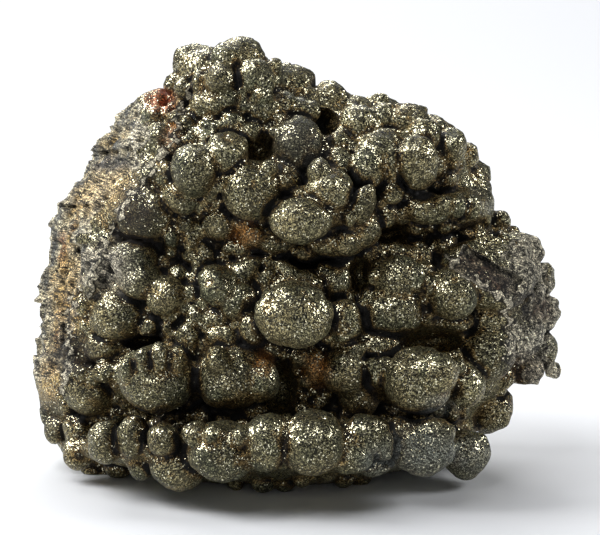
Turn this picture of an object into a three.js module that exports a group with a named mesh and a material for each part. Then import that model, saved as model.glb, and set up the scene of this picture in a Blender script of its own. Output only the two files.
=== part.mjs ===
// A marcasite nodule: rounded lumps grown over an older mass, broken off on the left, behind and below.
import * as THREE from 'three';
import { mergeVertices } from 'three/addons/utils/BufferGeometryUtils.js';

// Sizes are millimetres. A place on the nodule is given as it is seen from the front, slightly from above:
// across to the right, up, and out towards the eye. The whole is tipped into its frame at the end.
const eyeTilt = THREE.MathUtils.degToRad(12);
const eyeDistance = 700;
const seat = { x: 0.9, y: 5.4, z: 41 };

// The older mass under the lumps: across, up, out, then half width, half height and half depth.
const core = [
  [-2, -14, -8, 46, 27, 23],
  [-7, 13, -8, 38, 22.4, 20],
  [-24, 9, -14, 23, 27, 18],
  [-14, 34, -8, 12, 10, 11],
  [38, -7, -10, 11, 15, 12],
  [-4.5, -34, 0, 33, 9, 19],
  [-35, -10, -12, 19, 34, 18],
  [-12, 36.5, -6, 9.5, 6.5, 11],
  [-17, 19, -2, 10, 8, 16],
  [3, 11, 0, 14, 6.5, 19],
  [21, 22, -8, 13, 8, 16],
  [29, 12, -8, 9, 5, 15],
  [-32, -1, -6, 9, 6, 15],
  [-15, -3, -4, 9, 6, 18],
  [-2, -9, 0, 9, 7, 21],
  [23, -5, -4, 13, 7, 18],
  [-22, -21, -4, 20, 7, 21],
  [20, -21, -2, 18, 7, 21],
  [-5, -35.5, 2, 40, 5.6, 23],
];

// Hollows between the lumps, where the mass lies deep: across, up, half width, half height.
const hollowDepth = 8;
const hollows = [
  [-8, 24, 3, 3],
  [5, 29.6, 3, 3.4],
  [18, 7, 4.6, 2.8],
  [12, -1, 2.6, 4],
  [26.5, -14.5, 6.4, 3],
  [-4, -23.5, 3.4, 5.6],
  [2, 1.6, 4.4, 1.8],
  [-32, -14.6, 4.8, 2],
];

// Lumps: across, up, half width, half height, how far they stand out, lean in degrees. They hang out and
// down, and a small one sits on the larger one it lies over.
const proudShare = 0.5;
const lumpDepth = 1.32;
const lumpDroop = 26;
const lumpSunk = 0.28;
const lumpLift = 0.1;
const peakLumps = [
  [-11.8, 42, 4.4, 4, -1],
  [-14.8, 42, 3, 3, -3],
  [-21.2, 40.4, 4, 4, -7],
  [-9.2, 38.2, 3.4, 3.4, 1],
  [-7.2, 37.2, 2, 2, 3],
  [-15.6, 37.6, 3.2, 3.2, 2],
  [-19.2, 36.4, 2.4, 3, 0],
  [-14.4, 34.2, 2.4, 2.4, 3],
  [-18.8, 32.4, 3, 3, 2],
  [-16.4, 33, 2.8, 2.8, 2],
  [-2.4, 36, 5.4, 4.2, 0],
  [1.8, 34.2, 2, 2, 1],
  [-7.6, 34.6, 2.2, 2.2, 3],
  [-10.8, 32.8, 2.4, 2.4, 3],
  [-7.6, 31.2, 3.4, 4, 3.5],
  [-3.4, 32.4, 2.6, 2.6, 3],
  [-0.6, 32, 2, 2, 3],
  [2.2, 31.2, 1.8, 1.8, 2.5],
  [-13.4, 28.8, 2.8, 2.8, 2],
  [-17.6, 28.6, 2, 2, 1],
  [-22, 28.4, 2.2, 2.2, -1],
  [-19, 26, 1.8, 1.8, 0],
];
const upperLumps = [
  [-14.8, 23, 4.2, 4, 4],
  [-21.2, 19.4, 4.8, 4.8, 4],
  [-27.4, 18, 2.4, 3.4, 3],
  [-23.4, 14.2, 4.2, 3.2, 4],
  [-0.4, 24.4, 5.2, 5, 1],
  [-9.6, 15.4, 6, 5.6, 4.5],
  [-3, 18, 3.4, 3.2, 3],
  [-6.4, 20, 1.8, 1.8, 4],
  [5.6, 15.4, 5, 4.4, 5],
  [7.6, 21, 3.2, 2.8, 3],
  [3.6, 19.6, 2.4, 2.4, 2.5],
  [11.8, 28.4, 4, 4, 2],
  [16.4, 30, 3.2, 3.2, 1.5],
  [21, 28.8, 4.8, 3.8, 2],
  [15.6, 22.8, 5.2, 4.6, 2.5],
  [13.4, 19.8, 3.8, 4, 5.5],
  [18.2, 20.4, 2.2, 4.2, 4],
  [23.4, 20.8, 4, 5.4, 4.5],
  [24.8, 26.4, 2.8, 3.2, 3],
  [29.8, 24.4, 3.4, 3.4, 2],
  [34, 16.8, 4.2, 4.6, 3],
  [29, 18, 2.6, 2.8, 0],
  [12.6, 12.6, 2.6, 4.4, 5, -25],
  [18, 15.6, 2.6, 2.6, 4],
  [0, 9.2, 6.4, 4.2, 4],
  [-9.6, 7, 2.8, 3, 1.5],
  [-5, 5, 4, 2.6, 2],
  [7, 6, 6, 4, 2.5],
  [13, 8, 3.2, 3.2, 3],
  [9, 5, 2.4, 2.4, 4],
  [2, 3.4, 4, 2.2, 2],
];
const rightLedgeLumps = [
  [25.4, 11.8, 5, 3, 4],
  [28.6, 12.8, 2, 2.4, 5],
  [31.6, 12.4, 2, 2.4, 5],
  [34.6, 11.8, 2.2, 2.4, 4.5],
  [20.4, 11.4, 2.4, 2.4, 1],
  [39.4, 9.2, 2.2, 1.6, 2],
  [36.6, 9.6, 1.6, 1.6, 3],
];
const leftHollowLumps = [
  [-30, 11.4, 6.6, 5.8, -1],
  [-22.8, 9.2, 2.8, 3, -1],
  [-16, 9, 3.4, 3.8, 0],
  [-19.4, 8, 1.6, 2, 0],
];
const middleLumps = [
  [-33.2, 1.4, 4.8, 4, 2],
  [-31.6, -2.4, 4.6, 3.6, 3],
  [-26.4, -5.6, 4, 3.8, 3.5],
  [-27, 1.6, 2.2, 2.2, 2],
  [-25.6, 4, 1.8, 1.8, 1],
  [-21.6, 3.2, 2.2, 1.8, 1.5],
  [-18, 2.8, 2.2, 2, 1.5],
  [-14.4, 2.4, 2.2, 1.8, 1],
  [-24, -1, 2.8, 2.4, 0],
  [-36.2, -9.4, 6.2, 5.2, 0.5],
  [-38.8, -16, 4.4, 3.2, 1],
  [-44.8, -16.8, 3.2, 4.2, -4],
  [-16.2, -3.6, 4, 4, 2.5],
  [-12, -1, 2.8, 2.6, 2],
  [-9.6, 0, 2, 2.4, 2.5],
  [-13, -6.4, 4, 4.4, 2.5],
  [-20.6, -9.6, 2.4, 2.4, 1.5],
  [-17, -9.6, 2.8, 2.2, 2],
  [-6.4, 1.2, 2.2, 2, 1],
  [-3.4, -0.4, 2.2, 2, 0],
  [-1, -9.8, 7.7, 6, 6.5],
  [-9.6, -12.6, 3, 3.8, 3],
  [9, -11.2, 3.6, 4.6, 4],
  [7.4, -3.4, 2.8, 3.4, 1],
  [18.8, -8.4, 6, 5, 4],
  [19.4, -2.6, 4.4, 4.4, 2.5],
  [15.2, -1.4, 1.6, 1.6, 4],
  [23, -2.4, 2, 2.8, 3],
  [30.4, -5.4, 4.9, 4.8, 5],
  [24.8, 2, 1.6, 1.6, 2],
  [37.4, -9.6, 4.6, 4, 2],
  [31, -10.4, 4, 2, 1.5],
  [37, -16.6, 5.8, 5.8, 2.5],
];
const lowerLumps = [
  [-42, -24.4, 5.4, 4.8, 2],
  [-45.8, -21.6, 1.6, 1.6, 3],
  [-43.4, -21.4, 1.6, 1.6, 4],
  [-41, -22, 1.6, 1.6, 5],
  [-38.4, -20.8, 2.8, 2.2, 2],
  [-28.6, -22.4, 7.8, 6, 5],
  [-34.6, -21, 1.6, 3, 5],
  [-31.6, -19.2, 1.6, 3, 5.5],
  [-28, -18.4, 2, 3, 5.5],
  [-24.8, -18.8, 1.8, 2.6, 5],
  [-22, -15, 2.6, 4, 3],
  [-13.4, -22, 7.8, 6.2, 5],
  [-15.4, -14, 3.6, 3, 2],
  [-7.4, -23, 3.4, 4, 4],
  [-16.4, -18.4, 2.4, 2.4, 5],
  [-12.4, -28, 6.4, 2.2, 1],
  [3.2, -19.6, 2.4, 3.6, 2],
  [15.6, -15.4, 4.4, 2.8, 4],
  [11, -16.4, 2.6, 2.6, 3],
  [9.2, -20.8, 5, 4.4, 3.5],
  [11.6, -25.6, 4.4, 5.4, 4.5],
  [4.4, -26.4, 2.4, 2.2, 2],
  [23.6, -23, 6.8, 6.2, 5],
  [27.4, -21, 4.2, 4, 7.5],
  [33.2, -23.8, 3.6, 3.8, 4.5],
  [37.8, -28.2, 4.4, 5, 3],
];
const footLumps = [
  [-44, -32.8, 3.4, 3.6, 5],
  [-39.2, -35.2, 3.4, 4.4, 6],
  [-44.2, -37, 3.4, 3.2, 4],
  [-33.4, -33.6, 3.4, 4.2, 6],
  [-36.4, -39.8, 2.6, 2.4, 2],
  [-31.8, -39, 3, 3.4, 7],
  [-27.4, -34.2, 3, 3.2, 8],
  [-24.4, -39, 5.8, 5.4, 8],
  [-21.2, -33.4, 2.8, 2.4, 8],
  [-15.6, -36.8, 7.2, 5.4, 7],
  [-17.6, -33.2, 2, 2, 8],
  [-12, -33.6, 2.2, 2.2, 8],
  [-6.6, -35, 5, 5.6, 8],
  [2.6, -35.2, 6.8, 5.8, 9],
  [13.2, -33.4, 4.8, 3.8, 8],
  [10, -37.2, 5.2, 3.8, 7],
  [14.8, -38.8, 4, 2.8, 6],
  [24.4, -36.4, 6.4, 5.2, 8],
  [27, -33.2, 3.8, 2.6, 9],
  [33, -37.2, 5.2, 4.4, 6],
  [20, -32.4, 2.4, 2.4, 6],
  [17, -35.6, 2, 2.8, 6],
];

// Lumps on the far right, set well back: across, up, out, half width, half height.
const farRightLumps = [
  [45, 4, -12, 3.4, 2.4],
  [48.6, -2, -14, 2, 3.4],
  [48.2, -8.6, -10, 3.2, 3.2],
  [44, -9.6, -6, 2.8, 5],
  [48.6, -16, -10, 2.8, 3.4],
  [45.2, -20, -6, 3.4, 2.8],
  [50.4, -19.4, -10, 1.4, 1.4],
  [42, -14, -3, 2.8, 4],
];

// Angular bits of the broken plate that show behind the top: across, up, out, size.
const backChips = [
  [-8, 38.6, -9, 3.4],
  [-3, 38.2, -10, 3.4],
  [4.5, 32.4, -12, 3.6],
  [10, 31, -13, 3.6],
  [16, 32, -12, 3.4],
  [22, 30, -12, 3.6],
  [27, 26.4, -12, 3.4],
];

// A slab of broken crust standing up on the right, and the face it broke along.
const slab = { place: [37, -1, 5], halfSizes: [10, 7.5, 8] };
const slabBreak = { middle: [36.5, 0.5, 9.5], facing: [0.35, 0.55, 0.75], rough: 0.7, ledges: [] };

// The faces the nodule broke off along. Nothing is left beyond them. Ledges stand out of a face: how far
// up each ends underneath, and how far it stands out there.
const breaks = [
  {
    middle: [-32, 24, 3],
    facing: [-0.81, 0.41, 0.4],
    rough: 1.5,
    ledges: [[24.4, 1.3], [13.5, 1], [5.4, 1.7]],
  },
  { middle: [-48.6, -10, -6], facing: [-0.94, 0.14, 0.3], rough: 1.8, ledges: [[-6.5, 1.2], [-26, 1.4]] },
  { middle: [-4, -4, -27], facing: [0, 0.12, -0.99], rough: 2.4, ledges: [] },
];
const ledgeLength = 8;
const coarseGrain = 13;
const fineGrain = 5;

// More lumps: in the gaps between those listed, and on the sides that face away.
const gapSpacing = 2;
const gapLump = { smallest: 1.2, largest: 3.8, overlap: 1.4, raised: 0.25, rooted: 3 };
const sideRings = [
  { out: -7, from: -48, to: 118, step: 9.5, radius: 4.4 },
  { out: -14, from: -55, to: 100, step: 9.5, radius: 4.8 },
  { out: -21, from: -50, to: 110, step: 10, radius: 4.4 },
];

// The surface is read off along rays that fan out from a flat plate deep inside, then thinned.
const plateOutline = [
  [-34, -25], [-28, -33], [20, -33], [27, -26], [32, -12],
  [22, 12], [14, 23], [-12, 37], [-18, 34], [-29, 18],
];
const plateOut = { lowest: -16, highest: -7 };
const rayShell = { detail: 70, halfSizes: [75, 70, 50], middle: [0, 0, -10] };
const skirtSlope = 1.6;
const facetLimit = 9600;
const sharpestTurn = 0.3;
const leastFacing = 0.04;
const leastHeight = 0.1;
const edgeWeight = 1e-3;
const firstAllowance = 0.002;
const allowanceGrowth = 1.5;
const lastAllowance = 30;

const floorFacing = new THREE.Vector3(0, Math.cos(eyeTilt), Math.sin(eyeTilt));

// A repeatable run of numbers from 0 to 1.
let drawn = 20261;
function draw() {
  drawn = (drawn * 1664525 + 1013904223) % 4294967296;
  return drawn / 4294967296;
}

// Things further out look larger to the eye, so the same width seen is a smaller width there.
function eyeShrink(out) {
  return 1 - out / eyeDistance;
}

function spotAt([across, up, out]) {
  return new THREE.Vector3(across * eyeShrink(out), up * eyeShrink(out), out);
}

// One rounded body: its middle, and its axes divided by their half lengths.
function roundedBody(place, halfSizes, lean = 0, droop = 0, cut = null) {
  const turn = new THREE.Euler(THREE.MathUtils.degToRad(droop), 0, THREE.MathUtils.degToRad(lean), 'ZXY');
  const axes = [new THREE.Vector3(1, 0, 0), new THREE.Vector3(0, 1, 0), new THREE.Vector3(0, 0, 1)];
  axes.forEach((axis) => axis.applyEuler(turn));
  axes.forEach((axis, index) => axis.divideScalar(halfSizes[index] * eyeShrink(place[2])));
  return { middle: spotAt(place), axes, cut };
}

// How far out the mass stands at a place, falling away quickly past its edge.
function massFront(across, up) {
  let front = -60;
  for (const [middleAcross, middleUp, out, halfWidth, halfHeight, halfDepth] of core) {
    const spread = Math.hypot((across - middleAcross) / halfWidth, (up - middleUp) / halfHeight);
    const rise = spread < 1 ? Math.sqrt(1 - spread * spread) : -1.5 * (spread - 1);
    front = Math.max(front, out + halfDepth * rise);
  }
  return front;
}

function insideMass(across, up, out) {
  return core.some(([middleAcross, middleUp, middleOut, halfWidth, halfHeight, halfDepth]) => (
    Math.hypot(
      (across - middleAcross) / halfWidth,
      (up - middleUp) / halfHeight,
      (out - middleOut) / halfDepth,
    ) < 1
  ));
}

function latticeValue(i, j, k) {
  const value = Math.sin(i * 127.1 + j * 311.7 + k * 74.7) * 43758.5453;
  return 2 * (value - Math.floor(value)) - 1;
}

// Smooth unevenness from -1 to 1, with bumps of one size.
function unevenness(spot, grain) {
  const place = [spot.x / grain, spot.y / grain, spot.z / grain];
  const corner = place.map(Math.floor);
  const blend = place.map((value, axis) => {
    const part = value - corner[axis];
    return part * part * (3 - 2 * part);
  });
  let total = 0;
  for (let index = 0; index < 8; index += 1) {
    const step = [index & 1, (index >> 1) & 1, (index >> 2) & 1];
    const weight = step.reduce((product, on, axis) => product * (on ? blend[axis] : 1 - blend[axis]), 1);
    total += weight * latticeValue(corner[0] + step[0], corner[1] + step[1], corner[2] + step[2]);
  }
  return total;
}

// How far a place lies beyond the outermost broken face, less than zero inside.
function beyondBreaks(place) {
  const spot = spotAt(place);
  return Math.max(...breaks.map(({ middle, facing }) => (
    new THREE.Vector3(...facing).normalize().dot(spot.clone().sub(spotAt(middle)))
  )));
}

// How far out a lump stands at a place that it covers.
function lumpFront({ place, halfWidth, halfHeight }, across, up) {
  const spread = Math.hypot((across - place[0]) / halfWidth, (up - place[1]) / halfHeight);
  const depth = lumpDepth * Math.min(halfWidth, halfHeight);
  return spread < 1 ? place[2] + 0.9 * depth * Math.sqrt(1 - spread * spread) : -60;
}

function listedLumps() {
  const onFront = [];
  const largestFirst = [
    ...peakLumps, ...upperLumps, ...rightLedgeLumps, ...leftHollowLumps,
    ...middleLumps, ...lowerLumps, ...footLumps,
  ].sort((first, second) => second[2] * second[3] - first[2] * first[3]);
  for (const [across, up, halfWidth, halfHeight, proud, lean = 0] of largestFirst) {
    const onMass = massFront(across, up) + proudShare * proud;
    const onLarger = Math.max(...onFront.map((lump) => lumpFront(lump, across, up)), -60);
    const out = Math.max(onMass, onLarger) - lumpSunk * Math.min(halfWidth, halfHeight);
    onFront.push({ place: [across, up + lumpLift * halfHeight, out], halfWidth, halfHeight, lean });
  }
  const onRight = farRightLumps.map(([across, up, out, halfWidth, halfHeight]) => (
    { place: [across, up, out], halfWidth, halfHeight, lean: 0 }
  ));
  return [...onFront, ...onRight];
}

// Lumps that fill what the listed ones leave bare: each grows until it just meets its neighbours.
function gapLumps(listed) {
  const grown = [];
  const clearance = (across, up) => Math.min(...[...listed, ...grown].map((lump) => {
    const { place, halfWidth, halfHeight } = lump;
    const spread = Math.hypot((across - place[0]) / halfWidth, (up - place[1]) / halfHeight);
    return (spread - 1) * Math.min(halfWidth, halfHeight);
  }));
  const inHollow = (across, up) => hollows.some(([middleAcross, middleUp, halfWidth, halfHeight]) => (
    Math.hypot((across - middleAcross) / halfWidth, (up - middleUp) / halfHeight) < 1.2
  ));
  for (let row = -42; row < 44; row += gapSpacing) {
    for (let column = -50; column < 52; column += gapSpacing) {
      const across = column + gapSpacing * (draw() - 0.5);
      const up = row + gapSpacing * (draw() - 0.5);
      const room = Math.min(gapLump.largest, clearance(across, up) + gapLump.overlap);
      const halfWidth = room * (0.85 + 0.15 * draw());
      const halfHeight = halfWidth * (0.85 + 0.3 * draw());
      const place = [across, up, massFront(across, up) + gapLump.raised * halfWidth];
      const fits = halfWidth >= gapLump.smallest && !inHollow(across, up);
      const onMass = insideMass(across, up, place[2] - gapLump.rooted);
      if (fits && onMass && place[2] > -8 && beyondBreaks(place) < -1.5) {
        grown.push({ place, halfWidth, halfHeight, lean: 0 });
      }
    }
  }
  return grown;
}

// Lumps that wrap over the top and the right, behind what the front shows.
function sideLumps() {
  const grown = [];
  for (const { out, from, to, step, radius } of sideRings) {
    for (let angle = from; angle < to; angle += step) {
      const turned = THREE.MathUtils.degToRad(angle + step * 0.5 * (draw() - 0.5));
      const halfWidth = radius * (0.75 + 0.5 * draw());
      const halfHeight = halfWidth * (0.85 + 0.3 * draw());
      let reach = 60;
      while (!insideMass(reach * Math.cos(turned), reach * Math.sin(turned) - 5, out)) {
        reach -= 0.5;
      }
      reach -= halfWidth * 0.7;
      const place = [reach * Math.cos(turned), reach * Math.sin(turned) - 5, out + 3 * (draw() - 0.5)];
      grown.push({ place, halfWidth, halfHeight, lean: 0 });
    }
  }
  return grown;
}

function buildBodies() {
  const listed = listedLumps();
  const lumps = [...listed, ...gapLumps(listed), ...sideLumps()];
  return [
    ...core.map(([across, up, out, ...halfSizes]) => roundedBody([across, up, out], halfSizes)),
    roundedBody(slab.place, slab.halfSizes, 0, 0, slabBreak),
    ...lumps.map(({ place, halfWidth, halfHeight, lean }) => {
      const halfDepth = lumpDepth * Math.min(halfWidth, halfHeight);
      return roundedBody(place, [halfWidth, halfHeight, halfDepth], lean, lumpDroop);
    }),
    ...backChips.map(([across, up, out, size]) => roundedBody([across, up, out], [size, size * 0.8, size])),
  ];
}

// The nearest place on the plate inside, where the ray through a spot starts.
function plateBelow(spot) {
  let nearest = null;
  let inside = true;
  let least = Infinity;
  plateOutline.forEach(([x, y], index) => {
    const [nextX, nextY] = plateOutline[(index + 1) % plateOutline.length];
    const [alongX, alongY] = [nextX - x, nextY - y];
    const [offX, offY] = [spot.x - x, spot.y - y];
    inside = inside && alongX * offY - alongY * offX >= 0;
    const share = (offX * alongX + offY * alongY) / (alongX * alongX + alongY * alongY);
    const part = Math.min(1, Math.max(0, share));
    const [edgeX, edgeY] = [x + part * alongX, y + part * alongY];
    const apart = Math.hypot(spot.x - edgeX, spot.y - edgeY);
    if (apart < least) {
      least = apart;
      nearest = [edgeX, edgeY];
    }
  });
  const [x, y] = inside ? [spot.x, spot.y] : nearest;
  const z = Math.min(plateOut.highest, Math.max(plateOut.lowest, spot.z));
  return new THREE.Vector3(x, y, z);
}

// Where a ray leaves a body. A ray that misses meets a steep skirt round it instead.
function rayLeavesBody(start, ray, { middle, axes }) {
  const offset = start.clone().sub(middle);
  let along = 0;
  let square = 0;
  let apart = 0;
  for (const axis of axes) {
    const away = offset.dot(axis);
    const pace = ray.dot(axis);
    along -= away * pace;
    square += pace * pace;
    apart += away * away;
  }
  const nearest = along / square;
  const missSquare = apart - nearest * nearest * square;
  const pace = Math.sqrt(square);
  if (missSquare < 1) {
    return nearest + Math.sqrt(1 - missSquare) / pace;
  }
  return nearest - skirtSlope * (Math.sqrt(missSquare) - 1) / pace;
}

// How far ledges stand out of a broken face, a certain way up it.
function ledgeHeight(ledges, up) {
  return Math.max(0, ...ledges.map(([bottom, height]) => (
    up < bottom ? 0 : height * (1 - (up - bottom) / ledgeLength)
  )));
}

function rayMeetsBreak(start, ray, { middle, facing, rough, ledges }) {
  const outward = new THREE.Vector3(...facing).normalize();
  const pace = ray.dot(outward);
  if (pace < 0.05) {
    return Infinity;
  }
  const flat = spotAt(middle).sub(start).dot(outward) / pace;
  const spot = start.clone().addScaledVector(ray, flat);
  const bumps = rough * (unevenness(spot, coarseGrain) + 0.5 * unevenness(spot, fineGrain));
  return flat + (bumps + ledgeHeight(ledges, spot.y)) / pace;
}

// How much deeper the mass lies in a hollow, for a ray that leaves through it.
function hollowDip(spot) {
  let dip = 0;
  for (const [across, up, halfWidth, halfHeight] of hollows) {
    const middle = spotAt([across, up, massFront(across, up)]);
    const spread = Math.hypot((spot.x - middle.x) / halfWidth, (spot.y - middle.y) / halfHeight);
    if (spot.z > middle.z - 15 && spread < 1) {
      dip = Math.max(dip, hollowDepth * (1 - spread * spread));
    }
  }
  return dip;
}

function surfaceAlongRay(start, ray, bodies) {
  let reach = 0;
  bodies.forEach((body, index) => {
    let leaves = rayLeavesBody(start, ray, body);
    if (body.cut) {
      leaves = Math.min(leaves, rayMeetsBreak(start, ray, body.cut));
    }
    if (index < core.length && leaves > reach) {
      leaves -= hollowDip(start.clone().addScaledVector(ray, leaves));
    }
    reach = Math.max(reach, leaves);
  });
  for (const face of breaks) {
    reach = Math.min(reach, rayMeetsBreak(start, ray, face));
  }
  const sinking = -ray.dot(floorFacing);
  const floorReach = sinking > 0 ? (seat.z + start.dot(floorFacing)) / sinking : Infinity;
  const spot = start.clone().addScaledVector(ray, Math.min(reach, floorReach));
  return { spot, rests: floorReach <= reach };
}

// How much a surface changes when a corner moves: the squared distances to the planes that met there.
function planeThrough(spots, [a, b, c]) {
  const normal = spots[b].clone().sub(spots[a]).cross(spots[c].clone().sub(spots[a]));
  const area = normal.length() / 2;
  const { x, y, z } = normal.normalize();
  const away = -normal.dot(spots[a]);
  const products = [x * x, x * y, x * z, x * away, y * y, y * z, y * away, z * z, z * away, away * away];
  return products.map((value) => value * area);
}

function changeAt(q, { x, y, z }) {
  return x * x * q[0] + 2 * x * y * q[1] + 2 * x * z * q[2] + 2 * x * q[3] + y * y * q[4]
    + 2 * y * z * q[5] + 2 * y * q[6] + z * z * q[7] + 2 * z * q[8] + q[9];
}

// A facet's facing, and its height over its longest edge.
function facetShape([a, b, c]) {
  const normal = b.clone().sub(a).cross(c.clone().sub(a));
  const longest = Math.max(a.distanceTo(b), b.distanceTo(c), c.distanceTo(a));
  const height = normal.length() / longest;
  return { normal: normal.normalize(), height };
}

// Thins a closed mesh by closing up its edges, the ones that change the surface least first. Every
// facet keeps facing out along the rays, so the surface never folds over.
function thinned(spots, rests, facets) {
  const around = spots.map(() => new Set());
  const planes = spots.map(() => new Array(10).fill(0));
  facets.forEach((facet, index) => {
    const products = planeThrough(spots, facet);
    facet.forEach((corner) => {
      around[corner].add(index);
      products.forEach((value, i) => {
        planes[corner][i] += value;
      });
    });
  });

  const neighbours = (corner) => {
    const near = new Set();
    around[corner].forEach((index) => facets[index].forEach((other) => near.add(other)));
    near.delete(corner);
    return near;
  };

  // Corners on the flat that the nodule rests on stay on it.
  const bestSpot = (from, to) => {
    const joined = planes[from].map((value, i) => value + planes[to][i]);
    const ends = [spots[from], spots[to]];
    const resting = ends.filter((spot, index) => rests[[from, to][index]]);
    const choices = resting.length === 1 ? resting : [...ends, ends[0].clone().lerp(ends[1], 0.5)];
    const costs = choices.map((spot) => changeAt(joined, spot));
    const least = Math.min(...costs);
    const cost = least + edgeWeight * ends[0].distanceToSquared(ends[1]);
    return { spot: choices[costs.indexOf(least)], cost };
  };

  const keepsShape = (corner, other, spot, ray) => [...around[corner]].every((index) => {
    const facet = facets[index];
    if (facet.includes(other)) {
      return true;
    }
    const before = facetShape(facet.map((one) => spots[one]));
    const after = facetShape(facet.map((one) => (one === corner ? spot : spots[one])));
    const grows = after.height > leastHeight || after.height > before.height;
    return grows && after.normal.dot(before.normal) > sharpestTurn && after.normal.dot(ray) > leastFacing;
  });

  const closeUp = (from, to, spot) => {
    spots[from] = spot.clone();
    rests[from] = rests[from] || rests[to];
    planes[to].forEach((value, i) => {
      planes[from][i] += value;
    });
    let lost = 0;
    [...around[to]].forEach((index) => {
      const facet = facets[index];
      if (facet.includes(from)) {
        facet.forEach((corner) => around[corner].delete(index));
        facets[index] = null;
        lost += 1;
      } else {
        facet[facet.indexOf(to)] = from;
        around[from].add(index);
      }
    });
    return lost;
  };

  const mayCloseUp = (from, to, spot) => {
    const near = neighbours(from);
    const shared = [...neighbours(to)].filter((other) => near.has(other));
    const ray = spot.clone().sub(plateBelow(spot)).normalize();
    return shared.length === 2 && keepsShape(from, to, spot, ray) && keepsShape(to, from, spot, ray);
  };

  let count = facets.length;
  let allowed = firstAllowance;
  while (count > facetLimit && allowed < lastAllowance) {
    for (let index = 0; index < facets.length && count > facetLimit; index += 1) {
      const [a, b, c] = facets[index] ?? [];
      for (const [from, to] of facets[index] ? [[a, b], [b, c], [c, a]] : []) {
        const { spot, cost } = bestSpot(from, to);
        if (cost < allowed && mayCloseUp(from, to, spot)) {
          count -= closeUp(from, to, spot);
          break;
        }
      }
    }
    allowed *= allowanceGrowth;
  }
  return facets.filter((facet) => facet);
}

function buildNodule() {
  const bodies = buildBodies();
  const shell = new THREE.IcosahedronGeometry(1, rayShell.detail);
  shell.scale(...rayShell.halfSizes);
  shell.translate(...rayShell.middle);
  shell.deleteAttribute('normal');
  shell.deleteAttribute('uv');
  const rays = mergeVertices(shell, 1e-4);
  const spots = [];
  const rests = [];
  for (let i = 0; i < rays.attributes.position.count; i += 1) {
    const outer = new THREE.Vector3().fromBufferAttribute(rays.attributes.position, i);
    const start = plateBelow(outer);
    const found = surfaceAlongRay(start, outer.sub(start).normalize(), bodies);
    spots.push(found.spot);
    rests.push(found.rests);
  }
  const facets = [];
  for (let i = 0; i < rays.index.count; i += 3) {
    facets.push([rays.index.getX(i), rays.index.getX(i + 1), rays.index.getX(i + 2)]);
  }
  const kept = thinned(spots, rests, facets);

  // Tipped into the frame, with the flat that it rests on at height zero.
  spots.forEach((spot, index) => {
    spot.applyAxisAngle(new THREE.Vector3(1, 0, 0), Math.PI / 2 - eyeTilt);
    spot.add(new THREE.Vector3(seat.x, seat.y, seat.z));
    spot.z = rests[index] ? 0 : spot.z;
  });
  const geometry = new THREE.BufferGeometry();
  const corners = kept.flat().flatMap((corner) => spots[corner].toArray());
  geometry.setAttribute('position', new THREE.Float32BufferAttribute(corners, 3));
  const closed = mergeVertices(geometry, 1e-6);
  closed.computeVertexNormals();
  return closed;
}

const tarnishedSulphide = new THREE.MeshStandardMaterial({
  color: 0x6b6347,
  roughness: 0.42,
  metalness: 0.85,
});
const nodule = new THREE.Mesh(buildNodule(), tarnishedSulphide);
nodule.name = 'nodule';

const part = new THREE.Group();
part.add(nodule);
export default part;
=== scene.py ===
import math
import bpy
import numpy as np
import openvdb
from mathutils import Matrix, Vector


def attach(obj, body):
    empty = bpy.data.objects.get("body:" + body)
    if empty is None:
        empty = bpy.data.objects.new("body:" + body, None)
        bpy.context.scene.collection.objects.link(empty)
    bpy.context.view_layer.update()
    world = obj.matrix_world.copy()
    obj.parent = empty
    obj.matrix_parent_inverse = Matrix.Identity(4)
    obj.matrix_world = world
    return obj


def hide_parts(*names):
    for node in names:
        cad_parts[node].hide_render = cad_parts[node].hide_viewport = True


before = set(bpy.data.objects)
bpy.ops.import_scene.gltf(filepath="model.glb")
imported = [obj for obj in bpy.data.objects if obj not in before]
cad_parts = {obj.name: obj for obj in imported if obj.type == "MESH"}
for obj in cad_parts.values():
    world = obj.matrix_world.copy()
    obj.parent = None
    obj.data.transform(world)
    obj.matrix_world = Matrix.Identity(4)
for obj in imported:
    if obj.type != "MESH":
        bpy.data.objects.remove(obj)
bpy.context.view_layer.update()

# Lengths are millimetres until the mesh is made. A place is given as the eye sees it:
# across to the right, up, and out towards the eye, which looks down a little.
eye = {"tilt": 12, "distance": 700, "photoWidthMm": 120, "aimUp": 0.5, "sensor": 36, "clipEnd": 20}
tilt = math.radians(eye["tilt"])
seat = (0.9, 5.4, 41)  # where the eye's zero place stands in the frame
mmPerMetre = 1000
tiny = 1e-6  # keeps a division from failing

# The mass under the lumps: across, up, out, half width, half height, half depth.
core = [
    (-2, -14, -8, 46, 27, 23), (-7, 13, -8, 38, 22.4, 20), (-24, 9, -14, 23, 27, 18),
    (-14, 34, -8, 12, 10, 11), (38, -7, -10, 11, 15, 12), (-4.5, -34, 0, 33, 9, 19),
    (-35, -10, -12, 19, 34, 18), (-12, 36.5, -6, 9.5, 6.5, 11), (-17, 19, -2, 10, 8, 16),
    (3, 11, 0, 14, 6.5, 19), (21, 22, -8, 13, 8, 16), (29, 12, -8, 9, 5, 15), (-32, -1, -6, 9, 6, 15),
    (-15, -3, -4, 9, 6, 18), (-2, -9, 0, 9, 7, 21), (23, -5, -4, 13, 7, 18), (-22, -21, -4, 20, 7, 21),
    (20, -21, -2, 18, 7, 21), (-5, -35.5, 2, 40, 5.6, 23),
]

# Hollows between the lumps: across, up, half width, half height.
hollows = [
    (-8, 24, 3, 3), (5, 29.6, 3, 3.4), (18, 7, 4.6, 2.8), (12, -1, 2.6, 4), (26.5, -14.5, 6.4, 3),
    (-4, -23.5, 3.4, 5.6), (2, 1.6, 4.4, 1.8), (-32, -14.6, 4.8, 2),
]

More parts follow.
